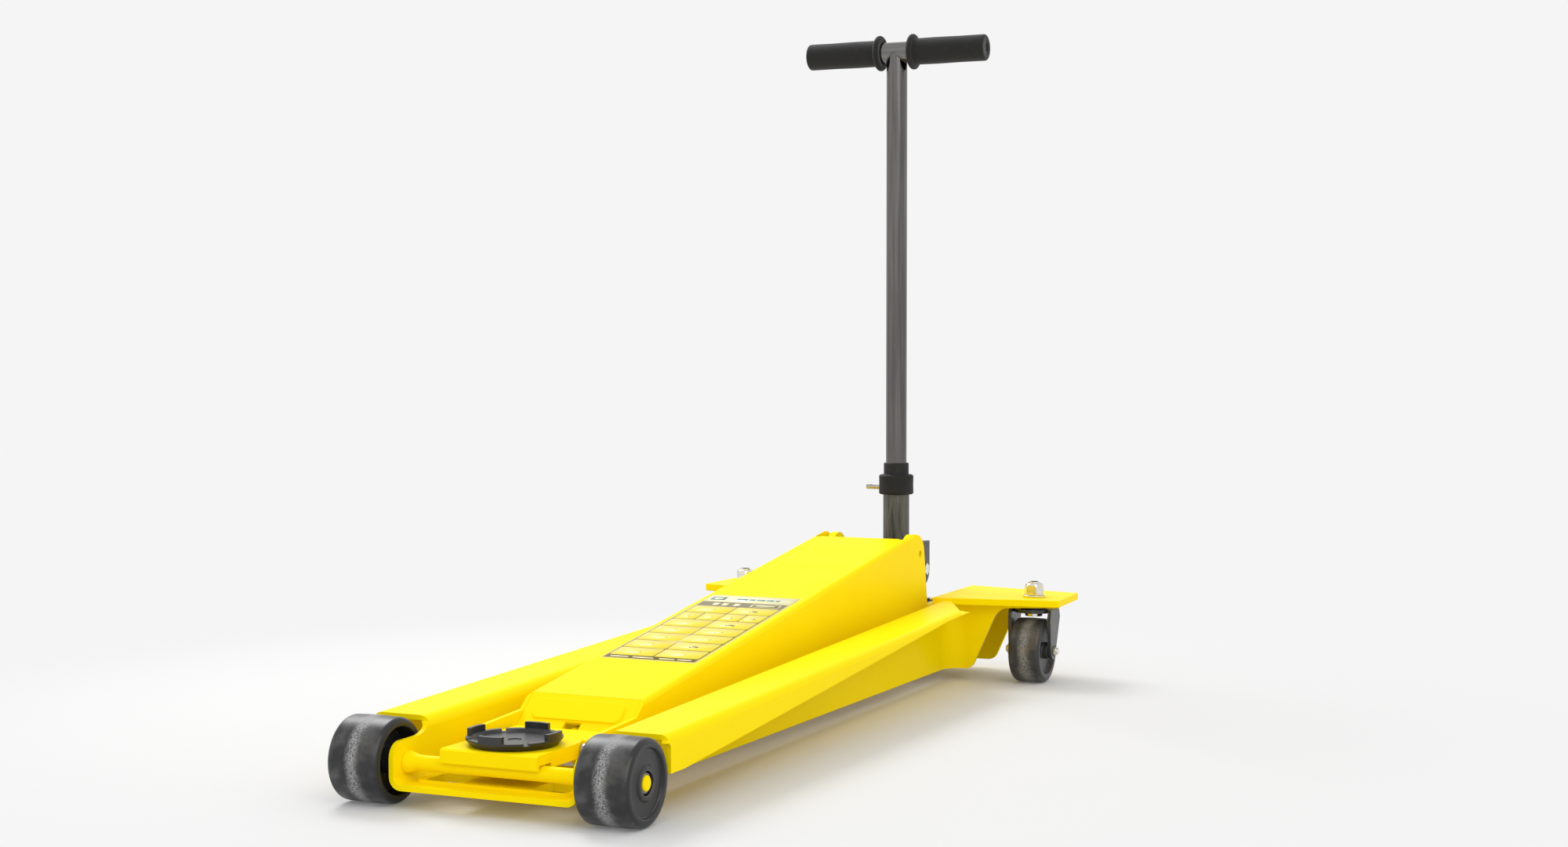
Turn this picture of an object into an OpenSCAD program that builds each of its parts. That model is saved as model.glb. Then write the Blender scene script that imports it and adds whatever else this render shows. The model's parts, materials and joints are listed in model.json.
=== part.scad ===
// Long-chassis hydraulic trolley jack, standing lowered with its handle upright.
// X runs across the jack, Y from the front wheels to the handle and Z up, in millimetres.
// The modules measure Y from the front axle, and place() moves the part's origin
// to the middle of its footprint on the floor.

/* [Front wheels] */
// Diameter of a front wheel
wheel_d = 100; // [96:1:104]
// Width of a front wheel
wheel_w = 68; // [50:1:69]
// Distance from the centre plane to the middle of a front wheel
wheel_x = 159.6; // [158:0.1:161]
// Diameter of the front axle
axle_d = 18; // [14:1:18]

/* [Side beams] */
// Distance from the centre plane to the outer face of a beam's web
web_x = 122; // [121:0.5:124]
// Distance from the centre plane to the outer face of a beam's lip
lip_x = 194; // [190:1:197]
// Thickness of the folded sheet
sheet = 6; // [5:0.5:6]
// Height of the top flange at its front edge
flange_z = 95; // [94:0.5:97]
// Climb of the top flange towards the handle, in degrees
flange_climb = 1.79; // [1.5:0.01:1.8]

/* [Outriggers] */
// Distance from the centre plane to a castor's kingpin
king_x = 249.5; // [247:0.5:252]
// Distance from the front axle to the kingpins
king_y = 1184.8; // [1183:0.1:1187]
// Height of the outrigger's top face
rigger_z = 132; // [131:0.5:134]
// Diameter of a castor wheel
castor_d = 100; // [96:1:100]
// Width of a castor wheel
castor_w = 50; // [40:1:52]

/* [Lift arm] */
// Width of the lift arm
arm_w = 160; // [154:1:164]
// Distance from the front axle to the arm's pivot shaft
pivot_y = 1131; // [1129:0.5:1133]
// Height of the arm's pivot shaft
pivot_z = 197; // [195:0.5:198]
// Diameter of the arm's pivot shaft
pivot_d = 36; // [30:1:38]
// Slope of the arm's top plate, in degrees
arm_slope = 8; // [7.8:0.1:8.1]

/* [Saddle] */
// Diameter of the saddle across its rim
saddle_d = 111; // [100:1:114]
// Height of the four lugs' tops
saddle_z = 88.5; // [87:0.5:92]
// Diameter of the saddle's centre bolt
saddle_bolt_d = 16; // [10:1:20]

/* [Handle] */
// Distance from the front axle to the handle post
post_y = 1231.8; // [1230:0.1:1233]
// Diameter of the upper post
upper_d = 33.7; // [30:0.1:34]
// Diameter of the lower post
lower_d = 42.4; // [40:0.1:44]
// Height of the crossbar's centre
bar_z = 997; // [900:1:1100]
// Half the length of the crossbar
bar_half = 152.3; // [130:0.1:180]
// Diameter of a grip
grip_d = 42; // [36:1:46]

/* [Hidden] */
$fn = 64;
fit = 0.05;
front_y = -wheel_d / 2;
rear_y = 1302;
mid_y = (front_y + rear_y) / 2;
axle_z = wheel_d / 2;
floor_z = 22;
gusset_z = 19;
rigger_t = 10;
plate_under = rigger_z - rigger_t;
flange_y = 47;
gusset_y = 1145;
rear_gusset_y = 1256;
bend_r = 30;
bend_x = web_x + bend_r;
web_in = web_x - sheet;
rigger_front_y = 1111;
pan_end_y = 150;

arm_x = arm_w / 2;
arm_in = arm_x - sheet;
arm_top_y = 208;
arm_top_z = 102.6;
arm_end_y = 1075;
nose_y = 86;
nose_z = 62;
nose_r = 17;
ram_y = 1145;
ram_z = 71.5;
ram_pin_d = 22;
ram_line = 73;
rod_front_y = 46;
rod_front_z = 44;
rod_rear_y = rod_front_y + pivot_y - nose_y;
rod_rear_z = rod_front_z + pivot_z - nose_z;
carrier_x = 63;
carrier_z = 71.5;
saddle_y = 42;

unit_x = 58;
unit_z = 118;
unit_side_z = 108;
yoke_z = 163;
yoke_x = 48;
roller_reach = 36;
roller_r = 9;
roller_y = post_y + roller_reach * cos(22.5);
roller_z = yoke_z + roller_reach * sin(22.5);
barrel_top = 134;
collar_z = 283;
lower_top = 306;
castor_trail = 8;
castor_y = king_y - castor_trail;

// Moves what is measured from the front axle into the part's own frame
module place() translate([0, -mid_y, 0]) children();

// Repeats the right-hand part on the left
module both() {
    children();
    mirror([1, 0, 0]) children();
}

// Gives an outline drawn in the side view (Y, Z) a thickness along X
module side_cut(x0, x1) translate([x0, 0, 0]) rotate([90, 0, 90]) linear_extrude(x1 - x0) children();

// Gives an outline drawn in the front view (X, Z) a thickness along Y
module front_cut(y0, y1) translate([0, y1, 0]) rotate([90, 0, 0]) linear_extrude(y1 - y0) children();

// Round bars along each axis
module x_rod(x0, x1, y, z, r) translate([x0, y, z]) rotate([0, 90, 0]) cylinder(h = x1 - x0, r = r);
module y_rod(y0, y1, x, z, r) translate([x, y1, z]) rotate([90, 0, 0]) cylinder(h = y1 - y0, r = r);
module z_rod(z0, z1, x, y, r) translate([x, y, z0]) cylinder(h = z1 - z0, r = r);

module box(low, high) translate(low) cube(high - low);

// Points along an arc, for the round stretches of an outline
function arc(x, y, r, from, to, steps = 8) =
    [for (i = [0:steps]) let (a = from + (to - from) * i / steps) [x + r * cos(a), y + r * sin(a)]];

// A rectangle with its two upper corners rounded
module round_top(x0, x1, z0, z1, r0, r1) {
    middle = (x0 + x1) / 2;
    translate([x0, z0]) square([middle - x0, z1 - z0 - r0]);
    translate([middle, z0]) square([x1 - middle, z1 - z0 - r1]);
    translate([x0 + r0, z0]) square([x1 - x0 - r0 - r1, z1 - z0]);
    translate([x0 + r0, z1 - r0]) circle(r0);
    translate([x1 - r1, z1 - r1]) circle(r1);
}

// A rectangle with four round corners
module round_rect(x0, x1, y0, y1, r) {
    translate([x0 + r, y0]) square([x1 - x0 - 2 * r, y1 - y0]);
    translate([x0, y0 + r]) square([x1 - x0, y1 - y0 - 2 * r]);
    for (x = [x0 + r, x1 - r], y = [y0 + r, y1 - r]) translate([x, y]) circle(r);
}

// ---- side beams ----

function flange_top(y) = flange_z + (y - flange_y) * tan(flange_climb);

// The folded sheet in section: web, top flange and outer lip
module beam_section() {
    difference() {
        round_top(web_in, lip_x, -115, 0, 14, 10);
        round_top(web_x, lip_x - sheet, -116, -sheet, 8, 4);
    }
}

// Outline of the plates under an outrigger, seen from the front
module gusset_outline(x0, tip_x, tip_z) {
    polygon(concat(
        [[x0, gusset_z], [148, gusset_z]],
        arc(150, gusset_z + 16, 16, -90, -23, 5),
        arc(222, 90, 27, 157, 97, 6),
        [[tip_x, tip_z], [tip_x, plate_under], [x0, plate_under]]
    ));
}

module beam() {
    web_end_y = 1115;
    lip_end_y = 945;
    difference() {
        translate([0, flange_y, flange_z]) rotate([flange_climb, 0, 0])
            front_cut(-90, 1090) beam_section();
        side_cut(web_in - 1, lip_x + 1) polygon(concat(
            [[-60, -20], [front_y + 21, -20]],
            arc(front_y + 39, 57.5, 18, 180, 90, 6),
            [[22, 76]],
            arc(24, 100, 23, -85, -32, 5),
            [[flange_y, 88.5], [flange_y, 140], [-60, 140]]
        ));
        side_cut(web_in - 1, web_x + 4) polygon([
            [-60, -40], [-60, 37], [pan_end_y, 37], [pan_end_y, floor_z + 0.5],
            [web_end_y, gusset_z], [1200, gusset_z], [1200, -40]
        ]);
        side_cut(lip_x - sheet - 6, lip_x + 2) polygon([
            [-60, -40], [-60, 86], [flange_y, 86], [52, 82], [52, 51.4], [85, 51.4],
            [lip_end_y, flange_top(lip_end_y) - sheet + 0.3],
            [1200, flange_top(1200) - sheet + 0.3], [1200, -40]
        ]);
        translate([0, 0, plate_under - 1.5]) linear_extrude(40) polygon([
            [lip_x + 5, 1003], [lip_x, 1003], [138, rigger_front_y], [100, rigger_front_y],
            [100, 1200], [lip_x + 5, 1200]
        ]);
        box([100, web_end_y, -40], [lip_x + 5, 1200, 160]);
        x_rod(web_in - 1, web_x + 1, 0, axle_z, axle_d / 2 + fit);
    }
    intersection() {
        translate([0, 0, gusset_z - 1]) linear_extrude(plate_under - gusset_z + 2) gusset_fold(web_end_y);
        front_cut(1100, 1160) gusset_outline(web_in - 2, 302, plate_under - 1);
    }
}

// Top view of the web's outward fold, a little thinner than the web so that it is let into its end
module gusset_fold(bend_y) {
    inset = 0.2;
    translate([web_in + inset, bend_y - 8]) square([sheet - 2 * inset, 8]);
    difference() {
        translate([bend_x, bend_y]) circle(bend_r + sheet - inset);
        translate([bend_x, bend_y]) circle(bend_r + inset);
        translate([bend_x - 50, bend_y - 60]) square([100, 60]);
        translate([bend_x, bend_y]) square([50, 50]);
    }
    translate([bend_x, gusset_y + inset]) square([302 - bend_x, sheet - 2 * inset]);
}
module beam_right() { color("gold") place() beam(); }
module beam_left() { color("gold") place() mirror([1, 0, 0]) beam(); }

// The pan that ties the two webs together under the front axle
module front_pan() {
    color("gold") place() difference() {
        union() {
            front_cut(front_y + 21, pan_end_y) mirror([0, 1]) difference() {
                round_top(-web_x, web_x, -60, -floor_z, 15, 15);
                round_top(-web_in, web_in, -61, -floor_z - 6.5, 8.5, 8.5);
                translate([-web_x - 1, -61]) square([2 * web_x + 2, 24]);
            }
            translate([0, 0, floor_z + 6.5]) linear_extrude(3) round_rect(-102, 102, -6, 120, 8);
        }
        for (side = [-1, 1]) {
            translate([0, 0, floor_z - 1]) linear_extrude(20)
                round_rect(min(side * 46, side * 92), max(side * 46, side * 92), -2, 40, 6);
        }
        translate([0, 0, floor_z - 1]) linear_extrude(20) round_rect(-70, 70, 66, 108, 10);
    }
}

module front_axle() {
    end_x = wheel_x + wheel_w / 2 - 1;
    color("gold") place() translate([0, 0, axle_z]) rotate([0, 90, 0]) {
        translate([0, 0, -end_x + 1.5]) cylinder(h = 2 * end_x - 3, d = axle_d);
        for (flip = [0, 180]) rotate([flip, 0, 0]) {
            translate([0, 0, end_x - 1.5]) cylinder(h = 1.5, d1 = axle_d, d2 = axle_d - 3);
            translate([0, 0, web_in - 16]) cylinder(h = 12, d1 = axle_d, d2 = axle_d + 8);
            translate([0, 0, web_in - 4]) cylinder(h = 3.9, d = axle_d + 8);
        }
    }
}

// Spring rings that keep the front wheels on the axle
module axle_rings() {
    ring_x = wheel_x + wheel_w / 2 - 5;
    color("dimgray") place() both() difference() {
        x_rod(ring_x, ring_x + 1.5, 0, axle_z, axle_d / 2 + 2.5);
        x_rod(ring_x - 1, ring_x + 3, 0, axle_z, axle_d / 2);
    }
}

// ---- outriggers ----

module outrigger() {
    difference() {
        union() {
            translate([0, 0, plate_under]) linear_extrude(rigger_t) polygon(concat(
                [[121, rigger_front_y]],
                arc(298, 1147, 5, -78, 0, 4),
                arc(293, 1259, 5, 0, 78, 4),
                [[106, rear_y], [108, rigger_front_y]]
            ));
            front_cut(rear_gusset_y, rear_gusset_y + sheet) gusset_outline(web_in, 290, plate_under - 1);
            box([web_in - sheet, 1118, gusset_z], [web_in, 1296, plate_under]);
        }
        z_rod(plate_under - 1, rigger_z + 1, king_x, king_y, 9 + fit);
    }
}
module outrigger_right() { color("gold") place() outrigger(); }
module outrigger_left() { color("gold") place() mirror([1, 0, 0]) outrigger(); }

module floor_plate() {
    color("gold") place() box([-(web_in - sheet), 1186, gusset_z], [web_in - sheet, 1290, gusset_z + 8]);
}

// ---- hydraulic power unit ----

// Side plates that carry the arm's pivot and clamp the power unit between them
module unit_cheek() {
    difference() {
        side_cut(unit_x, unit_x + 12) polygon(concat(
            arc(pivot_y, pivot_z, 30, 10, 150, 10),
            [[rod_rear_y - 6, rod_rear_z + 12]],
            arc(rod_rear_y, rod_rear_z, 12, 115, 250, 7),
            [[pivot_y - 26, pivot_z - 46], [1176, 106], [1186, 92], [1186, gusset_z + 8],
             [1290, gusset_z + 8], [1290, 104], [1284, 110], [1192, 110], [1182, 124]]
        ));
        x_rod(unit_x - 1, unit_x + 13, pivot_y, pivot_z, pivot_d / 2 + 4);
        x_rod(unit_x - 1, unit_x + 13, rod_rear_y, rod_rear_z, 6);
        for (y = [1208, 1274], z = [44, 94]) x_rod(unit_x - 1, unit_x + 13, y, z, 6.1);
    }
}
module unit_cheek_right() { color("gold") place() unit_cheek(); }
module unit_cheek_left() { color("gold") place() mirror([1, 0, 0]) unit_cheek(); }

// The cast block with the ram bore, the pump and valve pockets and the lugs for the yoke
module power_unit() {
    lug_x = yoke_x - 6 - 1;
    color("dimgray") place() difference() {
        union() {
            side_cut(-unit_x, unit_x) round_rect(1206, 1290, gusset_z + 8, unit_z, 5);
            y_rod(1190, 1207, 0, ram_line, 38);
            both() {
                box([lug_x - 15, post_y - 18, unit_z - 4], [lug_x, post_y + 18, yoke_z]);
                x_rod(lug_x - 15, lug_x, post_y, yoke_z, 18);
            }
        }
        y_rod(1180, 1280, 0, ram_line, 26);
        z_rod(100.5, unit_z + 1, 0, roller_y, 14);
        z_rod(100.5, unit_z + 1, 0, post_y, 12);
        both() {
            x_rod(lug_x - 16, lug_x + 1, post_y, yoke_z, 7);
            z_rod(unit_side_z - 6.5, unit_z + 1, 42, 1272, 8);
            box([lug_x + 1, 1205, unit_side_z], [unit_x + 1, 1291, unit_z + 1]);
            box([28, 1256, unit_side_z], [unit_x + 1, 1291, unit_z + 1]);
            for (y = [1208, 1274], z = [44, 94]) x_rod(unit_x - 16, unit_x + 1, y, z, 6);
        }
    }
}

module ram_gland() {
    color("gray") place() difference() {
        union() {
            y_rod(1182, 1190, 0, ram_line, 34);
            y_rod(1190, 1202, 0, ram_line, 26);
        }
        y_rod(1180, 1204, 0, ram_line, 20 + fit);
    }
}

module reservoir() {
    color("dimgray") place() difference() {
        side_cut(-50, 50) round_rect(1148, 1206, 118, 156, 8);
        side_cut(-47, 47) round_rect(1151, 1203, 121, 153, 5);
    }
}

module pump_barrel() {
    color("silver") place() difference() {
        union() {
            z_rod(100.5, unit_z, 0, roller_y, 14);
            translate([0, roller_y, unit_z]) cylinder(h = 4, r = 17, $fn = 6);
            z_rod(unit_z, barrel_top, 0, roller_y, 11);
        }
        z_rod(101.5, barrel_top + 1, 0, roller_y, 8 + fit);
    }
}

module valve_gland() {
    color("silver") place() difference() {
        union() {
            z_rod(100.5, unit_z, 0, post_y, 12);
            translate([0, post_y, unit_z]) cylinder(h = 6, r = 15, $fn = 6);
        }
        z_rod(101.5, unit_z + 7, 0, post_y, 6 + fit);
    }
}

module filler_plugs() {
    color("silver") place() both() difference() {
        union() {
            z_rod(unit_side_z - 6.5, unit_side_z, 42, 1272, 8);
            translate([42, 1272, unit_side_z]) cylinder(h = 4, r = 11, $fn = 6);
        }
        translate([42, 1272, unit_side_z + 1]) cylinder(h = 4, r = 4.6, $fn = 6);
    }
}

module unit_bolts() {
    color("silver") place() both() for (y = [1208, 1274], z = [44, 94]) {
        x_rod(unit_x - 14, unit_x + 12, y, z, 6);
        translate([unit_x + 12, y, z]) rotate([0, 90, 0]) cylinder(h = 8, r = 11, $fn = 6);
    }
}

module pivot_bushes() {
    color("peru") place() both() difference() {
        x_rod(unit_x, unit_x + 14, pivot_y, pivot_z, pivot_d / 2 + 4);
        x_rod(unit_x - 1, unit_x + 15, pivot_y, pivot_z, pivot_d / 2 + fit);
    }
}

module rod_anchor_pin() {
    color("silver") place() {
        x_rod(-unit_x - 12, unit_x + 12, rod_rear_y, rod_rear_z, 6);
        both() x_rod(unit_x + 12, unit_x + 14, rod_rear_y, rod_rear_z, 9);
    }
}

module yoke_bolts() {
    color("silver") place() both() {
        x_rod(27, yoke_x + 0.5, post_y, yoke_z, 7);
        translate([yoke_x + 0.5, post_y, yoke_z]) rotate([0, 90, 0]) cylinder(h = 6, r = 10, $fn = 6);
        x_rod(20, 26, post_y, yoke_z, 9);
        x_rod(26, 27, post_y, yoke_z, 7);
    }
}

// ---- castors ----

module castor_studs() {
    color("silver") place() both() {
        z_rod(108.2, rigger_z + 24, king_x, king_y, 9);
        z_rod(102.6, 108.2, king_x, king_y, 14);
    }
}

module castor_washers() {
    color("silver") place() both() difference() {
        z_rod(rigger_z, rigger_z + 3, king_x, king_y, 17.5);
        z_rod(rigger_z - 1, rigger_z + 4, king_x, king_y, 9 + fit);
    }
}

module castor_nuts() {
    color("silver") place() both() difference() {
        intersection() {
            translate([king_x, king_y, rigger_z + 3]) cylinder(h = 16, r = 15.6, $fn = 6);
            translate([king_x, king_y, rigger_z + 3]) cylinder(h = 16, r1 = 21, r2 = 14.2);
        }
        z_rod(rigger_z + 2, rigger_z + 20, king_x, king_y, 9);
    }
}

module castor_bearings() {
    color("gray") place() both() difference() {
        union() {
            z_rod(118.2, plate_under, king_x, king_y, 24);
            z_rod(114.3, 118.2, king_x, king_y, 21);
        }
        z_rod(110, plate_under + 1, king_x, king_y, 9 + fit);
    }
}

module castor_fork() {
    cheek_in = castor_w / 2 + 4;
    cheek_out = cheek_in + 5.6;
    difference() {
        union() {
            z_rod(108.5, 114, king_x, king_y, cheek_in + 1);
            for (side = [-1, 1]) {
                low = king_x + min(side * cheek_in, side * cheek_out);
                side_cut(low, low + 5.6) polygon(concat(
                    [[king_y + 20, 114], [king_y + 25, 101]],
                    arc(castor_y, castor_d / 2, 13, 5, -185, 10),
                    [[king_y - 25, 101], [king_y - 20, 114]]
                ));
            }
        }
        z_rod(100, 120, king_x, king_y, 9 + fit);
        x_rod(king_x - 50, king_x + 50, castor_y, castor_d / 2, 5);
    }
}
module castor_fork_right() { color("dimgray") place() castor_fork(); }
module castor_fork_left() { color("dimgray") place() mirror([1, 0, 0]) castor_fork(); }

module castor_wheel() {
    half = castor_w / 2;
    radius = castor_d / 2;
    translate([king_x, castor_y, radius]) rotate([0, 90, 0]) rotate_extrude() polygon(concat(
        [[5 + fit, -half - 3], [13, -half - 3], [13, -half + 6], [35, -half + 6], [37, -half]],
        arc(radius - 7, -half + 7, 7, -90, -15, 5),
        [[radius, 0]],
        arc(radius - 7, half - 7, 7, 15, 90, 5),
        [[37, half], [35, half - 6], [13, half - 6], [13, half + 3], [5 + fit, half + 3]]
    ));
}
module castor_wheel_right() { color("dimgray") place() castor_wheel(); }
module castor_wheel_left() { color("dimgray") place() mirror([1, 0, 0]) castor_wheel(); }

module castor_axle() {
    reach = castor_w / 2 + 9.6;
    x_rod(king_x - reach, king_x + reach, castor_y, castor_d / 2, 5);
    for (side = [0, 180]) translate([king_x, castor_y, castor_d / 2]) rotate([0, 90, side]) {
        translate([0, 0, reach]) cylinder(h = 5, r = 8.2, $fn = 6);
        translate([0, 0, reach + 5]) cylinder(h = 2.5, r = 5);
    }
}
module castor_axle_right() { color("silver") place() castor_axle(); }
module castor_axle_left() { color("silver") place() mirror([1, 0, 0]) castor_axle(); }

// ---- front wheels ----

module front_wheel() {
    half = wheel_w / 2;
    radius = wheel_d / 2;
    translate([wheel_x, 0, radius]) rotate([0, 90, 0]) rotate_extrude() polygon(concat(
        [[axle_d / 2 + fit, -half + 2], [16, -half + 2], [16, -half + 20], [36, -half + 20], [39, -half]],
        arc(radius - 7.5, -half + 6, 6, -90, -14, 5),
        [[radius, 0]],
        arc(radius - 7.5, half - 6, 6, 14, 90, 5),
        [[40, half], [37, half - 4], [20, half - 4], [18, half - 1.5], [13.5, half - 1.5],
         [13.5, half - 8], [axle_d / 2 + fit, half - 8]]
    ));
}
module front_wheel_right() { color("dimgray") place() front_wheel(); }
module front_wheel_left() { color("dimgray") place() mirror([1, 0, 0]) front_wheel(); }

// ---- lift arm ----

// Side view of the whole arm, from the nose to the ears
module arm_outline() {
    polygon(concat(
        arc(nose_y, nose_z, nose_r, 265, 90, 10),
        [[186, 84.5], [arm_top_y, arm_top_z], [1106, arm_top_z + 898 * tan(arm_slope)]],
        arc(1113, 191.5, 37.5, 90, 22, 6),
        [[1163.4, 111]],
        arc(ram_y, ram_z, 22, 12, -90, 7),
        [[1100, 54], [620, 74], [200, 52]]
    ));
}

// The arm's folded sheet: top plate and both sides
module arm_shell() {
    color("gold") place() difference() {
        intersection() {
            side_cut(-arm_x, arm_x) arm_outline();
            translate([0, arm_top_y, arm_top_z]) rotate([arm_slope, 0, 0])
                front_cut(-170, 1200) round_top(-arm_x, arm_x, -300, 0, 7, 7);
        }
        side_cut(-arm_in, arm_in) polygon([
            [0, 0], [0, 150], [arm_top_y, arm_top_z + 20], [arm_top_y, arm_top_z - sheet],
            [arm_end_y, arm_top_z - sheet + (arm_end_y - arm_top_y) * tan(arm_slope)],
            [arm_end_y, 300], [1300, 300], [1300, 0]
        ]);
        for (side = [-1, 1]) z_rod(190, 260, side * (arm_in - 4), arm_end_y, 4);
        x_rod(-arm_x - 1, arm_x + 1, nose_y, nose_z, 8);
        x_rod(-arm_x - 1, arm_x + 1, ram_y, ram_z, ram_pin_d / 2);
        x_rod(-arm_x - 1, arm_x + 1, pivot_y, pivot_z, 5.5);
    }
}

// The sloping nose plate with its raised panel
module arm_nose() {
    length = 60;
    color("gold") place() difference() {
        translate([0, arm_top_y - 0.5, arm_top_z - 0.5]) rotate([39.4, 0, 0]) {
            difference() {
                box([-arm_in, -length, -5], [arm_in, 5, 0]);
                box([-11, -length - 1, -6], [11, -length + 18, 1]);
            }
            translate([0, 0, -0.1]) linear_extrude(2.1) round_rect(-60, 60, -length + 20, -9, 9);
        }
        box([-arm_x, arm_top_y, 80], [arm_x, arm_top_y + 20, 120]);
    }
}

module arm_brace() {
    color("gold") place() {
        for (y = [330, 640, 950]) {
            z = arm_top_z - sheet + (y - arm_top_y) * tan(arm_slope) - 0.5;
            box([-arm_in, y - 3, z - 18], [arm_in, y + 3, z - 0.2]);
        }
    }
}

module pivot_shaft() {
    color("silver") place() difference() {
        x_rod(-arm_in, arm_in, pivot_y, pivot_z, pivot_d / 2);
        both() x_rod(arm_in - 28, arm_in + 1, pivot_y, pivot_z, 5.5);
    }
}

module ram_pin() {
    color("silver") place() {
        x_rod(-arm_x, arm_x, ram_y, ram_z, ram_pin_d / 2);
        both() x_rod(arm_x, arm_x + 4, ram_y, ram_z, ram_pin_d / 2 + 3);
    }
}

module label_plate() {
    half_w = 68;
    from = 158;
    to = 490;
    color("khaki") place() translate([0, arm_top_y, arm_top_z]) rotate([arm_slope, 0, 0])
        linear_extrude(0.6) round_rect(-half_w, half_w, from, to, 3);
}

// ---- saddle and its carrier ----

module saddle_carrier() {
    color("gold") place() difference() {
        union() {
            side_cut(-carrier_x, carrier_x) polygon([
                [-15, 55.5], [-13.5, 54], [112, 54], [140, 63], [154, 64], [154, carrier_z - 1.5],
                [152, carrier_z], [-12.5, carrier_z], [-15, carrier_z - 2]
            ]);
            both() x_rod(carrier_x - 9, carrier_x, nose_y, nose_z - 3, 14);
            both() side_cut(9, 15) polygon(concat(
                arc(rod_front_y, rod_front_z, 10, 180, 360, 8),
                [[rod_front_y + 16, 58], [rod_front_y - 16, 58]]
            ));
        }
        box([-carrier_x + 8, -7, 40], [carrier_x - 8, rod_front_y - 18, carrier_z - 11]);
        box([-9.2, rod_front_y - 19, 40], [9.2, 160, carrier_z - 5]);
        box([-carrier_x + 8, rod_front_y + 18, 40], [carrier_x - 8, 126, carrier_z - 11]);
        box([-carrier_x - 1, -9.9, 40], [carrier_x + 1, 16, axle_z + axle_d / 2 + 1]);
        x_rod(-carrier_x - 1, carrier_x + 1, nose_y, nose_z, 8);
        x_rod(-16, 16, rod_front_y, rod_front_z, 5);
        z_rod(40, 80, 0, saddle_y, saddle_bolt_d / 2);
    }
}

module carrier_pins() {
    color("silver") place() both() x_rod(carrier_x - 13, arm_x + 0.5, nose_y, nose_z, 8 - fit);
}

module saddle_bolt() {
    color("silver") place() z_rod(carrier_z - 5, 76, 0, saddle_y, saddle_bolt_d / 2);
}

module saddle() {
    rim = saddle_d / 2;
    color("dimgray") place() translate([0, saddle_y, 0]) {
        difference() {
            rotate_extrude() polygon([
                [saddle_bolt_d / 2 + fit, carrier_z + 0.3], [rim - 6, carrier_z + 0.3], [rim - 4, 74],
                [rim, 79], [rim, 81], [rim - 7, 81], [rim - 9, 77], [saddle_bolt_d / 2 + fit, 77]
            ]);
            for (turn = [45:90:315]) rotate([0, 0, turn]) box([rim - 9, -3, 78], [rim + 1, 3, 82]);
        }
        for (turn = [0:90:270]) rotate([0, 0, turn]) intersection() {
            difference() {
                z_rod(80, saddle_z, 0, 0, rim);
                z_rod(79, saddle_z + 1, 0, 0, rim - 5);
            }
            box([rim - 12, -15.5, 79], [rim + 1, 15.5, saddle_z + 1]);
        }
    }
}

module levelling_rod() {
    run = sqrt(pow(pivot_y - nose_y, 2) + pow(pivot_z - nose_z, 2));
    lean = atan2(pivot_z - nose_z, pivot_y - nose_y);
    color("gold") place() difference() {
        union() {
            x_rod(-8.5, 8.5, rod_front_y, rod_front_z, 9);
            x_rod(-8.5, 8.5, rod_rear_y, rod_rear_z, 12);
            translate([0, rod_front_y, rod_front_z]) rotate([lean - 90, 0, 0])
                translate([0, 0, 5]) cylinder(h = run - 12, r = 7);
        }
        x_rod(-10, 10, rod_front_y, rod_front_z, 5 + fit);
        x_rod(-10, 10, rod_rear_y, rod_rear_z, 6 + fit);
    }
}

// ---- ram ----

module ram_rod() {
    color("silver") place() {
        y_rod(1172, 1268, 0, ram_line, 20);
        y_rod(1260, 1272, 0, ram_line, 26 - fit);
    }
}

module crosshead() {
    color("dimgray") place() difference() {
        side_cut(-40, 40) round_rect(1120, 1172, ram_line - 22, ram_line + 22, 6);
        side_cut(-41, 41) {
            for (rise = [-2.5, 3]) translate([ram_y - 0.15, ram_line + rise]) circle(ram_pin_d / 2 + 0.6);
            translate([ram_y - 0.75 - ram_pin_d / 2, ram_line - 2.5]) square([ram_pin_d + 1.2, 5.5]);
        }
    }
}

// ---- pump ----

module pump_plunger() {
    cap_z = roller_z - roller_r - 0.2;
    color("silver") place() {
        z_rod(cap_z - 5, cap_z, 0, roller_y, 15.5);
        z_rod(barrel_top - 4.3, cap_z - 4, 0, roller_y, 8);
    }
}

module plunger_spring() {
    bottom = unit_z + 4;
    top = roller_z - roller_r - 5.4;
    turns = 5;
    wire = 1.4;
    color("silver") place() for (i = [0:turns])
        translate([0, roller_y, bottom + wire + (top - bottom - 2 * wire) * i / turns])
            rotate_extrude() translate([13.2, 0]) circle(wire);
}

// ---- handle ----

module yoke() {
    inner = yoke_x - 6;
    color("dimgray") place() difference() {
        union() {
            both() side_cut(inner, yoke_x) {
                translate([post_y, yoke_z]) circle(27);
                translate([post_y - 27, yoke_z]) square([54, 44]);
            }
            box([-inner, post_y - 24, yoke_z + 21], [inner, post_y + 24, yoke_z + 44]);
            both() side_cut(13.5, 19.5) {
                translate([roller_y, roller_z]) circle(7);
                polygon([
                    [post_y + 22, yoke_z + 21], [post_y + 22, yoke_z + 38],
                    [roller_y + 5, roller_z + 5], [roller_y - 5, roller_z - 4]
                ]);
            }
        }
        x_rod(-yoke_x - 1, yoke_x + 1, post_y, yoke_z, 7 + fit);
        z_rod(yoke_z, yoke_z + 50, 0, post_y, lower_d / 2 + fit);
        x_rod(-20, 20, roller_y, roller_z, 4);
    }
}

module yoke_roller() {
    color("silver") place() {
        x_rod(-19.5, 19.5, roller_y, roller_z, 4);
        x_rod(-13, 13, roller_y, roller_z, roller_r);
    }
}

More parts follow.
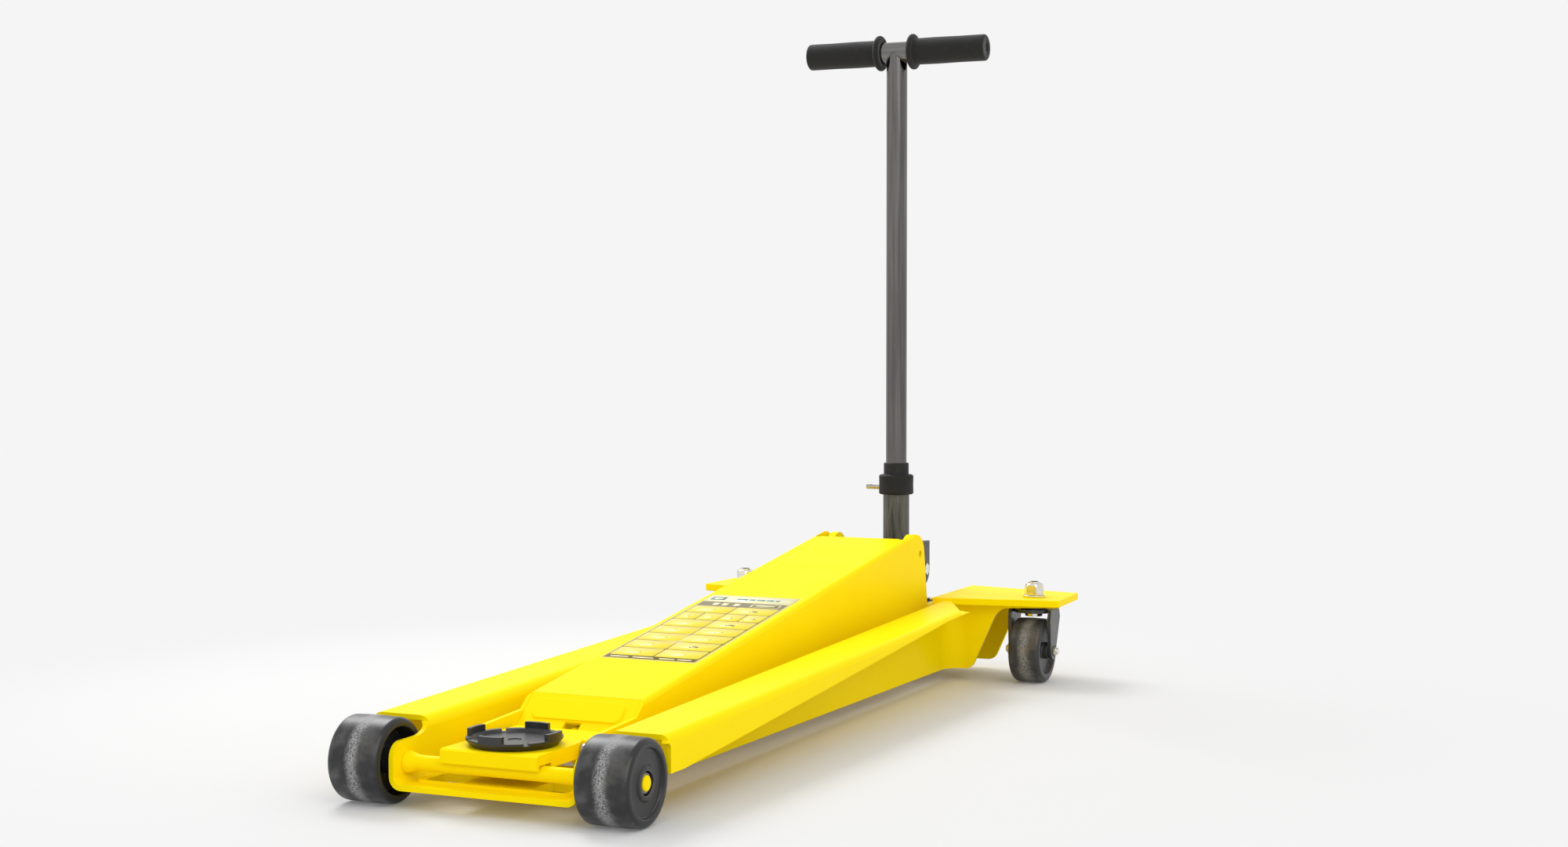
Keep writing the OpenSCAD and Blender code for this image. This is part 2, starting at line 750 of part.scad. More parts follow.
module lower_post() {
    color("gray") place() difference() {
        z_rod(yoke_z + 22, lower_top, 0, post_y, lower_d / 2);
        z_rod(yoke_z + 21, lower_top + 1, 0, post_y, upper_d / 2 + 0.2);
        x_rod(-30, 0, post_y, 295, 5.2);
    }
}

module upper_post() {
    color("dimgray") place() difference() {
        z_rod(270, bar_z - 4, 0, post_y, upper_d / 2);
        z_rod(269, bar_z - 30, 0, post_y, upper_d / 2 - 3);
        x_rod(-30, 0, post_y, 295, 5.2);
        x_rod(-30, 30, post_y, bar_z, upper_d / 2);
    }
}

module post_collar() {
    color("black") place() difference() {
        translate([0, post_y, 0]) rotate_extrude() polygon(concat(
            [[lower_d / 2 + fit, collar_z]],
            arc(24, collar_z + 4, 4, -90, 0, 3),
            arc(24, 311, 4, 0, 90, 3),
            [[20.3, 316], [20.3, 332], [19, 334], [upper_d / 2 + fit, 334],
             [upper_d / 2 + fit, lower_top + 0.3], [lower_d / 2 + fit, lower_top + 0.3]]
        ));
        x_rod(-40, 0, post_y, 295, 5.2);
    }
}

module crossbar() {
    color("dimgray") place() difference() {
        x_rod(-bar_half + 3, bar_half - 3, post_y, bar_z, upper_d / 2);
        both() x_rod(20, bar_half, post_y, bar_z, upper_d / 2 - 3);
    }
}

module grip() {
    inner = 24;
    bore = upper_d / 2;
    translate([0, post_y, bar_z]) rotate([0, 90, 0]) rotate_extrude() polygon(concat(
        [[bore, inner], [24, inner]],
        arc(24, inner + 4.5, 4.5, -90, 90, 6),
        arc(grip_d / 2 + 3, inner + 12, 3, -90, -180, 3),
        arc(grip_d / 2 - 3.5, bar_half - 3, 3, 0, 90, 4),
        [[0, bar_half], [0, bar_half - 3], [bore, bar_half - 3]]
    ));
}
module grip_right() { color("black") place() grip(); }
module grip_left() { color("black") place() mirror([1, 0, 0]) grip(); }

// Plug and ball end in the foot of the lower post that turn the valve spindle
module release_drive() {
    color("silver") place() translate([0, post_y, yoke_z]) {
        sphere(r = 8);
        translate([0, 0, 4]) cylinder(h = 26, r = 4.5);
        translate([0, 0, 26]) cylinder(h = 14, r = upper_d / 2 + 0.2);
    }
}

module valve_spindle() {
    color("silver") place() difference() {
        union() {
            z_rod(104, 152, 0, post_y, 6);
            z_rod(150, yoke_z - 0.5, 0, post_y, 12);
        }
        z_rod(154, yoke_z + 1, 0, post_y, 8.5);
    }
}

module lock_pin() {
    color("silver") place() x_rod(-51, -8, post_y, 295, 5);
}

beam_left();
beam_right();
front_pan();
front_axle();
outrigger_left();
outrigger_right();
floor_plate();
unit_cheek_left();
unit_cheek_right();
power_unit();
ram_gland();
reservoir();
pump_barrel();
valve_gland();
filler_plugs();
unit_bolts();
pivot_bushes();
rod_anchor_pin();
yoke_bolts();
castor_studs();
castor_washers();
castor_nuts();
castor_bearings();
axle_rings();
arm_shell();
arm_nose();
arm_brace();
pivot_shaft();
ram_pin();
label_plate();
saddle_carrier();
carrier_pins();
saddle_bolt();
saddle();
levelling_rod();
ram_rod();
crosshead();
pump_plunger();
plunger_spring();
yoke();
yoke_roller();
lower_post();
upper_post();
post_collar();
crossbar();
grip_left();
grip_right();
release_drive();
valve_spindle();
lock_pin();
front_wheel_left();
front_wheel_right();
castor_fork_left();
castor_fork_right();
castor_wheel_left();
castor_wheel_right();
castor_axle_left();
castor_axle_right();
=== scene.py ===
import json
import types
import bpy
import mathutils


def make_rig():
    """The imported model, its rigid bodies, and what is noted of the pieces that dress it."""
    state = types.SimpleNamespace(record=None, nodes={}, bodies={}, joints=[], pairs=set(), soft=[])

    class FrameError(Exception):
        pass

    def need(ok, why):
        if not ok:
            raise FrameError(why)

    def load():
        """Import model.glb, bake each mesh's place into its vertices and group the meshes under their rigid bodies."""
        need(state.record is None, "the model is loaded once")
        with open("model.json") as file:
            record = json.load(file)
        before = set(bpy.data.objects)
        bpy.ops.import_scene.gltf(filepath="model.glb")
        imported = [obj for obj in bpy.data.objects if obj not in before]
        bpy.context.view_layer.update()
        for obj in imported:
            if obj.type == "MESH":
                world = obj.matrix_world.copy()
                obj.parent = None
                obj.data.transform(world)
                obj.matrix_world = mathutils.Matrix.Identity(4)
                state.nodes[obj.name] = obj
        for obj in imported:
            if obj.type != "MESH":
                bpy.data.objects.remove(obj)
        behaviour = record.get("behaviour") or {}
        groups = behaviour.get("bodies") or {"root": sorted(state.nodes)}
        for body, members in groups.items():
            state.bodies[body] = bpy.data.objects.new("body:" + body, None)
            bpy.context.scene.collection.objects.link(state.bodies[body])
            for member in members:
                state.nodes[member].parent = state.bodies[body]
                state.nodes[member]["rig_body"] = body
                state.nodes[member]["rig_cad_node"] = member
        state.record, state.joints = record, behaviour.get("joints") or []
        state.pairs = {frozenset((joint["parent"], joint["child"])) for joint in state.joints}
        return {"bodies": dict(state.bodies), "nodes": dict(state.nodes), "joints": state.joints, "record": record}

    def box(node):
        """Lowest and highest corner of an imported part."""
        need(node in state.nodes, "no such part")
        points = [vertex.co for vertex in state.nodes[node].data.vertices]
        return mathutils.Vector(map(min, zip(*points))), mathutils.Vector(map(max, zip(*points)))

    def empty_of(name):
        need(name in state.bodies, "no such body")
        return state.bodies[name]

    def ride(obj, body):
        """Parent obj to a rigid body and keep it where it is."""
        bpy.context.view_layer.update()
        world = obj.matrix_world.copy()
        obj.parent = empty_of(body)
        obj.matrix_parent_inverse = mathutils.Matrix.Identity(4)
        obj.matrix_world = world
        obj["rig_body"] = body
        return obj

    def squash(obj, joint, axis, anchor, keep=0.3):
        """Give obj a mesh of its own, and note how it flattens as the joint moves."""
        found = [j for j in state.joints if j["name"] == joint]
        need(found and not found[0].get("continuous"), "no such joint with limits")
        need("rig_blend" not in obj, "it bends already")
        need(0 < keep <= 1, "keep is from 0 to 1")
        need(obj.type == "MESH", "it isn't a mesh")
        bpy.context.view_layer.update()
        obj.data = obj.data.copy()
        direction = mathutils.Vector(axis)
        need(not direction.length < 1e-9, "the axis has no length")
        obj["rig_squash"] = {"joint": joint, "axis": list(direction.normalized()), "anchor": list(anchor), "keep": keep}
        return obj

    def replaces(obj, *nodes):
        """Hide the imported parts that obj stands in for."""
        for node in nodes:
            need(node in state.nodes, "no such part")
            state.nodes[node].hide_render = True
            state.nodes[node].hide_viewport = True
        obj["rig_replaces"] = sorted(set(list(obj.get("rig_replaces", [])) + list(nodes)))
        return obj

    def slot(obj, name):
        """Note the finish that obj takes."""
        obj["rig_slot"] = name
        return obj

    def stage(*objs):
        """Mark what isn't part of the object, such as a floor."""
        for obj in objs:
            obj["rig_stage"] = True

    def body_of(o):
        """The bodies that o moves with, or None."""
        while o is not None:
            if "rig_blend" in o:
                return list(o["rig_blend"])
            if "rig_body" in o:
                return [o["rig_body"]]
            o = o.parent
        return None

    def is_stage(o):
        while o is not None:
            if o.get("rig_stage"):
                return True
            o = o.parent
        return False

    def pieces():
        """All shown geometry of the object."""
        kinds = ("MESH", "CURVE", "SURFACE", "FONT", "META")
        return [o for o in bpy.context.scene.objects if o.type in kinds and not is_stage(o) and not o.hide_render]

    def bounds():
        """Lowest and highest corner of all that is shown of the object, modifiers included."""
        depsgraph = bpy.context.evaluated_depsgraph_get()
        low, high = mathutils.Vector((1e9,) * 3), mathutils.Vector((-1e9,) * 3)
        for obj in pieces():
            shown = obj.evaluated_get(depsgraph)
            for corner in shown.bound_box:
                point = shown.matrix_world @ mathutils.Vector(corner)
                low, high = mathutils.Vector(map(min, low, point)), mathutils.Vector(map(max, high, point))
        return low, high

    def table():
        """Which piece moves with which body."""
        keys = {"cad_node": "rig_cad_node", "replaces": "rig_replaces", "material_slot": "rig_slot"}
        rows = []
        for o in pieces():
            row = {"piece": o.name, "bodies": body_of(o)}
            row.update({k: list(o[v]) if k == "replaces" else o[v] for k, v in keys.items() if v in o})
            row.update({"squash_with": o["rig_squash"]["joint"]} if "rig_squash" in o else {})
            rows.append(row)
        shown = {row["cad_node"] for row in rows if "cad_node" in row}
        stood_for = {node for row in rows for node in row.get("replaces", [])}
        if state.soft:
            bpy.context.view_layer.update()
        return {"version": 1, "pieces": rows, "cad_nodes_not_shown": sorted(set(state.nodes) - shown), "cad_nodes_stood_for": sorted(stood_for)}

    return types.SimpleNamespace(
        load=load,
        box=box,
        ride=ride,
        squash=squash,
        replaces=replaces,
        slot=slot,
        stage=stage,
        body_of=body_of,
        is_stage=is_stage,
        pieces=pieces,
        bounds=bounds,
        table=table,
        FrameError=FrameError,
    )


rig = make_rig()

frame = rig.load()
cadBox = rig.bounds()

import json
import math

import bmesh
import bpy
from mathutils import Matrix, Vector

nodes = frame["nodes"]
bodyOf = {node: body for body, members in frame["record"]["behaviour"]["bodies"].items() for node in members}
slotOf = {row["node"]: row["material_slot"] for row in frame["record"]["subparts"]}
mm = 0.001
turn = math.tau


studio = {
    "cameraPlace": (1.2903, -2.7076, 0.5205),
    "cameraTilt": 88.02,
    "cameraHeading": 24.22,
    "lens": 50.2,
    "backdrop": 0.913,
    "keyPower": 88.0,
    "keyPlace": (-2.3, 1.5, 3.2),
    "keySize": 1.7,
    "fillPower": 33.0,
    "fillPlace": (2.6, -2.4, 2.6),
    "fillSize": 2.4,
    "floorRadius": 30.0,
}


def addAreaLight(name, place, power, size):
    light = bpy.data.lights.new(name, "AREA")
    light.energy = power
    light.size = size
    lamp = bpy.data.objects.new(name, light)
    lamp.location = place
    lamp.rotation_euler = (-Vector(place)).to_track_quat("-Z", "Y").to_euler()
    bpy.context.scene.collection.objects.link(lamp)


def buildStudio():
    scene = bpy.context.scene
    scene.view_settings.view_transform = "Standard"
    camera = bpy.data.objects.new("studioCamera", bpy.data.cameras.new("studioCamera"))
    camera.location = studio["cameraPlace"]
    camera.rotation_euler = (math.radians(studio["cameraTilt"]), 0, math.radians(studio["cameraHeading"]))
    camera.data.lens = studio["lens"]
    camera.data.sensor_width = 36
    camera.data.clip_end = 200
    scene.collection.objects.link(camera)
    scene.camera = camera

    world = bpy.data.worlds.new("paleRoom")
    world.use_nodes = True
    world.node_tree.nodes["Background"].inputs["Color"].default_value = (1, 1, 1, 1)
    world.node_tree.nodes["Background"].inputs["Strength"].default_value = studio["backdrop"]
    scene.world = world
    addAreaLight("keyLight", studio["keyPlace"], studio["keyPower"], studio["keySize"])
    addAreaLight("fillLight", studio["fillPlace"], studio["fillPower"], studio["fillSize"])

    bm = bmesh.new()
    bmesh.ops.create_circle(bm, cap_ends=True, segments=96, radius=studio["floorRadius"])
    mesh = bpy.data.meshes.new("studioFloor")
    bm.to_mesh(mesh)
    bm.free()
    floor = bpy.data.objects.new("studioFloor", mesh)
    scene.collection.objects.link(floor)
    mesh.materials.append(floorMaterial())
    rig.stage(floor)


def addNode(tree, kind, **settings):
    node = tree.nodes.new(kind)
    for key, value in settings.items():
        setattr(node, key, value)
    return node


def join(tree, source, target):
    tree.links.new(source, target)


def feed(tree, socket, value):
    # A socket takes either a plain value or another node's output.
    if isinstance(value, bpy.types.NodeSocket):
        tree.links.new(value, socket)
    else:
        socket.default_value = value


def mathNode(tree, operation, first, second=0.0, clamp=False):
    node = addNode(tree, "ShaderNodeMath", operation=operation, use_clamp=clamp)
    feed(tree, node.inputs[0], first)
    feed(tree, node.inputs[1], second)
    return node.outputs[0]


def mixColour(tree, factor, first, second, blend="MIX"):
    node = addNode(tree, "ShaderNodeMix", data_type="RGBA", blend_type=blend)
    feed(tree, node.inputs["Factor"], factor)
    feed(tree, node.inputs["A"], first)
    feed(tree, node.inputs["B"], second)
    return node.outputs["Result"]


def mapRange(tree, value, low, high, toLow=0.0, toHigh=1.0):
    node = addNode(tree, "ShaderNodeMapRange", interpolation_type="SMOOTHSTEP")
    feed(tree, node.inputs["Value"], value)
    for label, number in (("From Min", low), ("From Max", high), ("To Min", toLow), ("To Max", toHigh)):
        node.inputs[label].default_value = number
    return node.outputs["Result"]


def noiseAt(tree, vector, scale, detail=4.0, roughness=0.55):
    node = addNode(tree, "ShaderNodeTexNoise")
    join(tree, vector, node.inputs["Vector"])
    feed(tree, node.inputs["Scale"], scale)
    node.inputs["Detail"].default_value = detail
    node.inputs["Roughness"].default_value = roughness
    return node.outputs["Fac"]


def objectCoords(tree, centre=(0, 0, 0), scale=(1, 1, 1)):
    coords = addNode(tree, "ShaderNodeTexCoord")
    mapping = addNode(tree, "ShaderNodeMapping")
    join(tree, coords.outputs["Object"], mapping.inputs["Vector"])
    mapping.inputs["Scale"].default_value = scale
    mapping.inputs["Location"].default_value = [-c * s for c, s in zip(centre, scale)]
    return mapping.outputs["Vector"]


def newMaterial(name, **values):
    material = bpy.data.materials.new(name)
    material.use_nodes = True
    tree = material.node_tree
    shader = tree.nodes["Principled BSDF"]
    for label, value in values.items():
        shader.inputs[label.replace("_", " ")].default_value = value
    return material, tree, shader


def newGroup(name, inputs, outputs):
    group = bpy.data.node_groups.new(name, "ShaderNodeTree")
    for label, kind, value in inputs:
        socket = group.interface.new_socket(name=label, in_out="INPUT", socket_type=kind)
        if value is not None:
            socket.default_value = value
    for label, kind in outputs:
        group.interface.new_socket(name=label, in_out="OUTPUT", socket_type=kind)
    return group, group.nodes.new("NodeGroupInput").outputs, group.nodes.new("NodeGroupOutput").inputs


def useGroup(tree, group, **values):
    node = addNode(tree, "ShaderNodeGroup", node_tree=group)
    for label, value in values.items():
        feed(tree, node.inputs[label], value)
    return node


def addBump(tree, shader, height, distance, strength=1.0):
    bump = addNode(tree, "ShaderNodeBump")
    bump.inputs["Strength"].default_value = strength
    bump.inputs["Distance"].default_value = distance
    join(tree, height, bump.inputs["Height"])
    join(tree, bump.outputs["Normal"], shader.inputs["Normal"])


def edgeWearGroup():
    # White along outer and inner edges, broken up by noise.
    group, given, made = newGroup(
        "edgeWear",
        [("Vector", "NodeSocketVector", None), ("Width", "NodeSocketFloat", 0.0015),
         ("Breakup", "NodeSocketFloat", 90.0)],
        [("Mask", "NodeSocketFloat")],
    )
    rounded = addNode(group, "ShaderNodeBevel", samples=4)
    join(group, given["Width"], rounded.inputs["Radius"])
    geometry = addNode(group, "ShaderNodeNewGeometry")
    dot = addNode(group, "ShaderNodeVectorMath", operation="DOT_PRODUCT")
    join(group, rounded.outputs["Normal"], dot.inputs[0])
    join(group, geometry.outputs["Normal"], dot.inputs[1])
    edge = mapRange(group, dot.outputs["Value"], 0.995, 0.90)
    patch = mapRange(group, noiseAt(group, given["Vector"], given["Breakup"], 6.0), 0.40, 0.62)
    join(group, mathNode(group, "MULTIPLY", edge, patch), made["Mask"])
    return group


def grimeGroup():
    # Soft cloudy dirt, with a finer speckle inside it.
    group, given, made = newGroup(
        "grime",
        [("Vector", "NodeSocketVector", None), ("Scale", "NodeSocketFloat", 8.0),
         ("Speckle", "NodeSocketFloat", 300.0)],
        [("Mask", "NodeSocketFloat")],
    )
    cloud = mapRange(group, noiseAt(group, given["Vector"], given["Scale"], 5.0), 0.42, 0.72)
    speck = mapRange(group, noiseAt(group, given["Vector"], given["Speckle"], 3.0), 0.35, 0.75)
    join(group, mathNode(group, "MULTIPLY", cloud, speck), made["Mask"])
    return group


def machiningGroup():
    # Fine lines left by drawing or turning, stretched along one axis by the caller's coordinates.
    group, given, made = newGroup(
        "machining",
        [("Vector", "NodeSocketVector", None), ("Scale", "NodeSocketFloat", 30.0)],
        [("Mask", "NodeSocketFloat")],
    )
    coarse = noiseAt(group, given["Vector"], given["Scale"], 6.0, 0.7)
    fine = noiseAt(group, given["Vector"], mathNode(group, "MULTIPLY", given["Scale"], 5.0), 3.0, 0.6)
    join(group, mathNode(group, "MULTIPLY", mathNode(group, "ADD", coarse, fine), 0.5), made["Mask"])
    return group


def treadScuffGroup():
    # A ragged pale ring round the middle of a tread, on the outer skin of the wheel only.
    group, given, made = newGroup(
        "treadScuff",
        [("Vector", "NodeSocketVector", None), ("Radius", "NodeSocketFloat", 0.05),
         ("Band", "NodeSocketFloat", 0.008)],
        [("Ring", "NodeSocketFloat"), ("Skin", "NodeSocketFloat")],
    )
    axes = addNode(group, "ShaderNodeSeparateXYZ")
    join(group, given["Vector"], axes.inputs["Vector"])
    squareY = mathNode(group, "MULTIPLY", axes.outputs["Y"], axes.outputs["Y"])
    squareZ = mathNode(group, "MULTIPLY", axes.outputs["Z"], axes.outputs["Z"])
    radial = mathNode(group, "SQRT", mathNode(group, "ADD", squareY, squareZ))
    depth = mathNode(group, "SUBTRACT", given["Radius"], radial)
    skin = mapRange(group, depth, 0.0035, 0.0012)
    wander = mathNode(group, "SUBTRACT", noiseAt(group, given["Vector"], 22.0, 3.0), 0.5)
    sideways = mathNode(group, "ADD", axes.outputs["X"], mathNode(group, "MULTIPLY", wander, 0.016))
    away = mathNode(group, "DIVIDE", mathNode(group, "ABSOLUTE", sideways), given["Band"])
    ring = mapRange(group, away, 1.0, 0.1)
    join(group, mathNode(group, "MULTIPLY", ring, skin), made["Ring"])
    join(group, skin, made["Skin"])
    return group


edgeWear = edgeWearGroup()
grime = grimeGroup()
machining = machiningGroup()
treadScuff = treadScuffGroup()


paint = {
    "light": (1.0, 0.79, 0.001, 1),
    "deep": (1.0, 0.74, 0.001, 1),
    "chip": (0.50, 0.33, 0.02, 1),
}


def yellowPaint():
    material, tree, shader = newMaterial("yellowPaint", Coat_Roughness=0.18, Coat_IOR=1.3,
                                         IOR=1.3, Specular_IOR_Level=0.03)
    coords = objectCoords(tree)
    colour = mixColour(tree, noiseAt(tree, coords, 5.0, 3.0), paint["light"], paint["deep"])
    dirt = useGroup(tree, grime, Vector=coords, Scale=9.0, Speckle=420.0).outputs["Mask"]
    colour = mixColour(tree, mathNode(tree, "MULTIPLY", dirt, 0.05), colour, paint["chip"])
    chips = useGroup(tree, edgeWear, Vector=coords, Width=0.0012, Breakup=160.0).outputs["Mask"]
    colour = mixColour(tree, mathNode(tree, "MULTIPLY", chips, 0.10), colour, paint["chip"])
    join(tree, colour, shader.inputs["Base Color"])
    join(tree, mapRange(tree, dirt, 0.0, 1.0, 0.34, 0.5), shader.inputs["Roughness"])
    join(tree, mapRange(tree, dirt, 0.0, 1.0, 0.05, 0.02), shader.inputs["Coat Weight"])
    addBump(tree, shader, noiseAt(tree, coords, 650.0, 2.0), 0.00004, 0.35)
    return material


def wheelMaterial(name, node, radius, band, base, scuff, stain, stainAmount):
    low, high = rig.box(node)
    material, tree, shader = newMaterial(name, Specular_IOR_Level=0.32)
    coords = objectCoords(tree, centre=(low + high) / 2)
    ring = useGroup(tree, treadScuff, Vector=coords, Radius=radius, Band=band)
    speckle = mapRange(tree, noiseAt(tree, coords, 520.0, 5.0, 0.75), 0.36, 0.62)
    cloud = mapRange(tree, noiseAt(tree, coords, 34.0, 5.0), 0.35, 0.75)
    mottled = mathNode(tree, "MULTIPLY", mathNode(tree, "MULTIPLY", ring.outputs["Skin"], cloud), 0.22)
    worn = mathNode(tree, "MULTIPLY", ring.outputs["Ring"], speckle)
    mask = mathNode(tree, "ADD", mottled, worn, clamp=True)
    colour = mixColour(tree, mask, base, scuff)
    brown = mapRange(tree, noiseAt(tree, coords, 18.0, 4.0), 0.50, 0.72)
    brown = mathNode(tree, "MULTIPLY", mathNode(tree, "MULTIPLY", brown, ring.outputs["Skin"]), stainAmount)
    colour = mixColour(tree, brown, colour, stain)
    edges = useGroup(tree, edgeWear, Vector=coords, Width=0.002, Breakup=60.0).outputs["Mask"]
    colour = mixColour(tree, mathNode(tree, "MULTIPLY", edges, 0.5), colour, scuff)
    join(tree, colour, shader.inputs["Base Color"])
    join(tree, mapRange(tree, mask, 0.0, 1.0, 0.36, 0.66), shader.inputs["Roughness"])
    addBump(tree, shader, noiseAt(tree, coords, 260.0, 6.0, 0.7), 0.00012, 0.5)
    return material


def metal(name, dark, light, stretch=(1, 1, 1), scale=30.0, rough=(0.2, 0.4), wear=0.0, bump=0.00002):
    material, tree, shader = newMaterial(name, Metallic=1.0)
    coords = objectCoords(tree, scale=stretch)
    lines = useGroup(tree, machining, Vector=coords, Scale=scale).outputs["Mask"]
    colour = mixColour(tree, mapRange(tree, lines, 0.38, 0.62), dark, light)
    if wear > 0:
        plain = objectCoords(tree)
        edges = useGroup(tree, edgeWear, Vector=plain, Width=0.0012, Breakup=70.0).outputs["Mask"]
        colour = mixColour(tree, mathNode(tree, "MULTIPLY", edges, wear), colour, (0.7, 0.69, 0.66, 1))
    join(tree, colour, shader.inputs["Base Color"])
    join(tree, mapRange(tree, lines, 0.35, 0.65, *rough), shader.inputs["Roughness"])
    addBump(tree, shader, lines, bump, 0.5)
    return material


def coatedMetal(name, base, second, worn, rough, grain, grainDepth, wear=0.6, metallic=0.0):
    # Paint, enamel or oxide over metal: base and second are mottled together, worn shows along edges.
    material, tree, shader = newMaterial(name, Metallic=metallic, Coat_Roughness=0.15)
    coords = objectCoords(tree)
    colour = mixColour(tree, mapRange(tree, noiseAt(tree, coords, 26.0, 6.0), 0.35, 0.68), base, second)
    edges = useGroup(tree, edgeWear, Vector=coords, Width=0.0012, Breakup=80.0).outputs["Mask"]
    colour = mixColour(tree, mathNode(tree, "MULTIPLY", edges, wear), colour, worn)
    join(tree, colour, shader.inputs["Base Color"])
    dirt = useGroup(tree, grime, Vector=coords, Scale=14.0, Speckle=500.0).outputs["Mask"]
    join(tree, mapRange(tree, dirt, 0.0, 1.0, *rough), shader.inputs["Roughness"])
    addBump(tree, shader, noiseAt(tree, coords, grain, 4.0, 0.6), grainDepth, 0.6)
    return material


def foamRubber():
    material, tree, shader = newMaterial("foamRubber", Specular_IOR_Level=0.25, Sheen_Weight=0.15)
    coords = objectCoords(tree)
    pores = addNode(tree, "ShaderNodeTexVoronoi")
    join(tree, coords, pores.inputs["Vector"])
    pores.inputs["Scale"].default_value = 1100.0
    cell = mapRange(tree, pores.outputs["Distance"], 0.0, 0.75)
    cloud = noiseAt(tree, coords, 45.0, 4.0)
    colour = mixColour(tree, cell, (0.006, 0.006, 0.006, 1), (0.016, 0.016, 0.0155, 1))
    colour = mixColour(tree, mapRange(tree, cloud, 0.5, 0.8, 0.0, 0.3), colour, (0.05, 0.05, 0.048, 1))
    join(tree, colour, shader.inputs["Base Color"])
    join(tree, mapRange(tree, cloud, 0.3, 0.8, 0.78, 0.92), shader.inputs["Roughness"])
    addBump(tree, shader, cell, 0.00025, 0.6)
    return material


def mouldedPlastic():
    material, tree, shader = newMaterial("mouldedPlastic", Specular_IOR_Level=0.3)
    coords = objectCoords(tree)
    grain = noiseAt(tree, coords, 900.0, 3.0)
    join(tree, mixColour(tree, grain, (0.008, 0.008, 0.008, 1), (0.015, 0.015, 0.015, 1)),
         shader.inputs["Base Color"])
    join(tree, mapRange(tree, noiseAt(tree, coords, 40.0, 4.0), 0.3, 0.7, 0.55, 0.7), shader.inputs["Roughness"])
    addBump(tree, shader, grain, 0.00006, 0.6)
    return material


def printedFilm(name, colour, rough=0.35):
    # Ink or film on the label, with a faint print grain and light rubbing.
    material, tree, shader = newMaterial(name, Coat_Roughness=0.2, Coat_Weight=0.3)
    coords = objectCoords(tree)
    grain = noiseAt(tree, coords, 1400.0, 2.0)
    rubbed = useGroup(tree, grime, Vector=coords, Scale=30.0, Speckle=700.0).outputs["Mask"]
    faded = [min(1.0, channel * 1.12 + 0.01) for channel in colour[:3]] + [1]
    tone = mixColour(tree, mathNode(tree, "MULTIPLY", grain, 0.35), colour, faded)
    join(tree, mixColour(tree, mathNode(tree, "MULTIPLY", rubbed, 0.12), tone, paint["deep"]),
         shader.inputs["Base Color"])
    join(tree, mapRange(tree, rubbed, 0.0, 1.0, rough, rough + 0.2), shader.inputs["Roughness"])
    return material


def floorMaterial():
    # Pale matt floor that fades into the backdrop's brightness far from the object: an emission blends in from 0.45 m
    # out, a painted glow that also lightens the cast shadows there.
    material, tree, shader = newMaterial("paleFloor", Roughness=0.85, Specular_IOR_Level=0.12)
    coords = addNode(tree, "ShaderNodeTexCoord").outputs["Object"]
    tone = mixColour(tree, noiseAt(tree, coords, 3.0, 3.0), (0.69, 0.69, 0.69, 1), (0.70, 0.70, 0.70, 1))
    join(tree, tone, shader.inputs["Base Color"])
    length = addNode(tree, "ShaderNodeVectorMath", operation="LENGTH")
    join(tree, coords, length.inputs[0])
    # Painted glow: this emission stands in for light and washes out the floor's cast shadows from 0.45 m out.
    paintedGlow = addNode(tree, "ShaderNodeEmission")
    paintedGlow.inputs["Strength"].default_value = studio["backdrop"]
    blend = addNode(tree, "ShaderNodeMixShader")
    join(tree, mapRange(tree, length.outputs["Value"], 0.45, 1.4), blend.inputs["Fac"])
    join(tree, shader.outputs["BSDF"], blend.inputs[1])
    join(tree, paintedGlow.outputs["Emission"], blend.inputs[2])
    join(tree, blend.outputs["Shader"], tree.nodes["Material Output"].inputs["Surface"])
    return material


print("scene: studio")
buildStudio()

